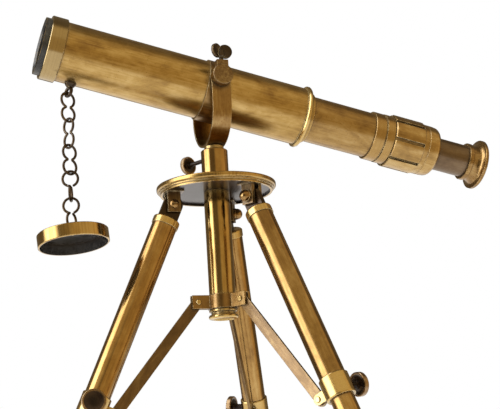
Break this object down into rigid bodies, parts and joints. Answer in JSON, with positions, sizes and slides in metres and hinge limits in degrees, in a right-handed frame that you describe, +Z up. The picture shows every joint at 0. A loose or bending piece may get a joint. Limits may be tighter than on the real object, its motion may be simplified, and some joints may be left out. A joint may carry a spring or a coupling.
{
  "type": "tabletop telescope on a tripod",
  "caption": "Small draw-tube refracting telescope in a yoke on a folding, telescoping tripod, with a chained lens cap.",
  "frame": {"origin": "on the tripod's centre line at floor level, midway between the three feet", "axes": "+Z up; the barrel lies in the XZ plane with its eyepiece towards +X, low, and its objective towards -X, high; +Y completes the right-handed frame"},
  "size_m": [0.3185, 0.216, 0.3218],
  "materials": {
    "brass_tube": "drawn tube with golden brown patina",
    "brass_turned": "turned, worn bright at the edges",
    "brass_brown": "brown antique patina",
    "dark_bronze": "dark bronzed",
    "black_lacquer": "black lacquer on brass",
    "glass": "polished"
  },
  "bodies": {
    "tripod_head": {"head_plate": "brass_turned", "pan_boss": "brass_turned", "centre_column": "brass_tube", "column_end_cap": "brass_turned", "leg_clevises": "brass_brown", "hinge_bolts": "brass_brown"},
    "yoke": {"yoke_strap": "brass_brown", "yoke_spindle": "brass_turned", "trunnion_collar": "brass_brown"},
    "pan_lock": {"pan_lock_screw": "dark_bronze"},
    "telescope": {"main_tube": "brass_tube", "objective_collar": "brass_turned", "objective_cell": "black_lacquer", "objective_lenses": "glass", "lens_retainer": "black_lacquer", "trunnion_band": "brass_brown", "trunnion_pins": "brass_turned", "end_ring": "brass_turned", "guide_bush": "brass_turned", "chain_eyelet": "dark_bronze"},
    "wing_screw": {"tilt_wing_screw": "dark_bronze"},
    "draw": {"draw_tube": "brass_tube", "draw_stop_ring": "brass_turned", "erector_tube": "brass_turned", "erector_lenses": "glass", "focus_sleeve": "brass_turned"},
    "focus_ring": {"focus_ring": "brass_turned"},
    "eyepiece": {"eyepiece_tube": "brass_tube", "eyecup": "brass_brown", "eyepiece_lenses": "glass"},
    "cap": {"lens_cap": "brass_turned", "cap_eye": "dark_bronze"},
    "hub": {"brace_hub": "brass_brown", "hub_rivets": "brass_turned"},
    "link_1": {"chain_link_1": "dark_bronze"},
    "link_2": {"chain_link_2": "dark_bronze"},
    "link_3": {"chain_link_3": "dark_bronze"},
    "link_4": {"chain_link_4": "dark_bronze"},
    "link_5": {"chain_link_5": "dark_bronze"},
    "leg_1": {"leg_tongue_1": "brass_brown", "leg_tube_1": "brass_tube", "leg_collar_1": "brass_turned", "brace_pin_1": "brass_turned"},
    "lower_leg_1": {"lower_leg_1": "brass_tube"},
    "leg_lock_1": {"leg_lock_screw_1": "dark_bronze"},
    "brace_1": {"brace_1": "brass_brown"},
    "leg_2": {"leg_tongue_2": "brass_brown", "leg_tube_2": "brass_tube", "leg_collar_2": "brass_turned", "brace_pin_2": "brass_turned"},
    "lower_leg_2": {"lower_leg_2": "brass_tube"},
    "leg_lock_2": {"leg_lock_screw_2": "dark_bronze"},
    "brace_2": {"brace_2": "brass_brown"},
    "leg_3": {"leg_tongue_3": "brass_brown", "leg_tube_3": "brass_tube", "leg_collar_3": "brass_turned", "brace_pin_3": "brass_turned"},
    "lower_leg_3": {"lower_leg_3": "brass_tube"},
    "leg_lock_3": {"leg_lock_screw_3": "dark_bronze"},
    "brace_3": {"brace_3": "brass_brown"}
  },
  "joints": [
    {"name": "head_pan", "type": "hinge", "parent": "tripod_head", "child": "yoke", "pos_m": [0, 0, 0.23748], "axis": [0, 0, 1], "continuous": true},
    {"name": "pan_lock_turn", "type": "hinge", "parent": "tripod_head", "child": "pan_lock", "pos_m": [-0.00908, 0.01782, 0.23308], "axis": [-0.454, 0.891, 0], "range_deg": [-270, 0]},
    {"name": "barrel_tilt", "type": "hinge", "parent": "yoke", "child": "telescope", "pos_m": [0, 0, 0.28008], "axis": [0, 1, 0], "range_deg": [-15, 20]},
    {"name": "tilt_lock_turn", "type": "hinge", "parent": "yoke", "child": "wing_screw", "pos_m": [0, -0.02567, 0.29208], "axis": [0, 0, 1], "range_deg": [-270, 0]},
    {"name": "draw_slide", "type": "slide", "parent": "telescope", "child": "draw", "axis": [0.974, 0, -0.2267], "range_m": [-0.04, 0.05]},
    {"name": "focus_turn", "type": "hinge", "parent": "draw", "child": "focus_ring", "pos_m": [0.13568, 0, 0.24543], "axis": [0.974, 0, -0.2267], "range_deg": [-180, 180]},
    {"name": "eyepiece_slide", "type": "slide", "parent": "draw", "child": "eyepiece", "axis": [0.974, 0, -0.2267], "range_m": [-0.0042, 0.0042]},
    {"name": "link_1_swing", "type": "hinge", "parent": "telescope", "child": "link_1", "pos_m": [-0.09395, 0, 0.27157], "axis": [0, 1, 0], "range_deg": [-30, 30]},
    {"name": "link_2_swing", "type": "hinge", "parent": "link_1", "child": "link_2", "pos_m": [-0.09395, 0, 0.25463], "axis": [1, 0, 0], "range_deg": [-14, 14]},
    {"name": "link_3_swing", "type": "hinge", "parent": "link_2", "child": "link_3", "pos_m": [-0.09395, 0, 0.23769], "axis": [0, 1, 0], "range_deg": [-14, 14]},
    {"name": "link_4_swing", "type": "hinge", "parent": "link_3", "child": "link_4", "pos_m": [-0.09395, 0, 0.22075], "axis": [-1, 0, 0], "range_deg": [-14, 14]},
    {"name": "link_5_swing", "type": "hinge", "parent": "link_4", "child": "link_5", "pos_m": [-0.09395, 0, 0.20381], "axis": [0, -1, 0], "range_deg": [-14, 14]},
    {"name": "cap_swing", "type": "hinge", "parent": "link_5", "child": "cap", "pos_m": [-0.09395, 0, 0.18687], "axis": [1, 0, 0], "range_deg": [-18, 18]},
    {"name": "leg_fold_1", "type": "hinge", "parent": "tripod_head", "child": "leg_1", "pos_m": [-0.0295, 0, 0.20098], "axis": [0, -1, 0], "range_deg": [0, 16]},
    {"name": "leg_fold_2", "type": "hinge", "parent": "tripod_head", "child": "leg_2", "pos_m": [0.01475, -0.02555, 0.20098], "axis": [0.866, 0.5, 0], "range_deg": [-0.5, 16.5]},
    {"name": "leg_fold_3", "type": "hinge", "parent": "tripod_head", "child": "leg_3", "pos_m": [0.01475, 0.02555, 0.20098], "axis": [-0.866, 0.5, 0], "range_deg": [-0.5, 16.5]},
    {"name": "hub_slide", "type": "slide", "parent": "tripod_head", "child": "hub", "axis": [0, 0, 1], "range_m": [-0.0005, 0.013]},
    {"name": "brace_fold_1", "type": "hinge", "parent": "hub", "child": "brace_1", "pos_m": [-0.0165, 0, 0.13898], "axis": [0, -1, 0], "range_deg": [-1, 29]},
    {"name": "brace_fold_2", "type": "hinge", "parent": "hub", "child": "brace_2", "pos_m": [0.00825, -0.01429, 0.13898], "axis": [0.866, 0.5, 0], "range_deg": [-1, 29]},
    {"name": "brace_fold_3", "type": "hinge", "parent": "hub", "child": "brace_3", "pos_m": [0.00825, 0.01429, 0.13898], "axis": [-0.866, 0.5, 0], "range_deg": [-1, 29]},
    {"name": "leg_extend_1", "type": "slide", "parent": "leg_1", "child": "lower_leg_1", "axis": [-0.4067, 0, -0.9135], "range_m": [-0.045, 0.04]},
    {"name": "leg_lock_turn_1", "type": "hinge", "parent": "leg_1", "child": "leg_lock_1", "pos_m": [-0.08706, -0.01467, 0.07938], "axis": [-0.1899, -0.9781, 0.0846], "range_deg": [-270, 0]},
    {"name": "leg_extend_2", "type": "slide", "parent": "leg_2", "child": "lower_leg_2", "axis": [0.2034, -0.3522, -0.9135], "range_m": [-0.045, 0.04]},
    {"name": "leg_lock_turn_2", "type": "hinge", "parent": "leg_2", "child": "leg_lock_2", "pos_m": [0.05623, -0.06806, 0.07938], "axis": [0.9421, 0.3246, 0.0846], "range_deg": [-270, 0]},
    {"name": "leg_extend_3", "type": "slide", "parent": "leg_3", "child": "lower_leg_3", "axis": [0.2034, 0.3522, -0.9135], "range_m": [-0.045, 0.04]},
    {"name": "leg_lock_turn_3", "type": "hinge", "parent": "leg_3", "child": "leg_lock_3", "pos_m": [0.03082, 0.08273, 0.07938], "axis": [-0.7521, 0.6536, 0.0846], "range_deg": [-270, 0]}
  ],
  "couplings": [
    {"joint": "eyepiece_slide", "follows": "focus_turn", "m_per_rad": 0.0012732},
    {"joint": "link_1_swing", "follows": "barrel_tilt", "ratio": -1},
    {"joint": "leg_fold_2", "follows": "leg_fold_1", "ratio": 1},
    {"joint": "leg_fold_3", "follows": "leg_fold_1", "ratio": 1},
    {"joint": "hub_slide", "follows": "leg_fold_1", "m_per_rad": 0.043217},
    {"joint": "brace_fold_1", "follows": "leg_fold_1", "ratio": 1.7386},
    {"joint": "brace_fold_2", "follows": "leg_fold_1", "ratio": 1.7386},
    {"joint": "brace_fold_3", "follows": "leg_fold_1", "ratio": 1.7386}
  ]
}
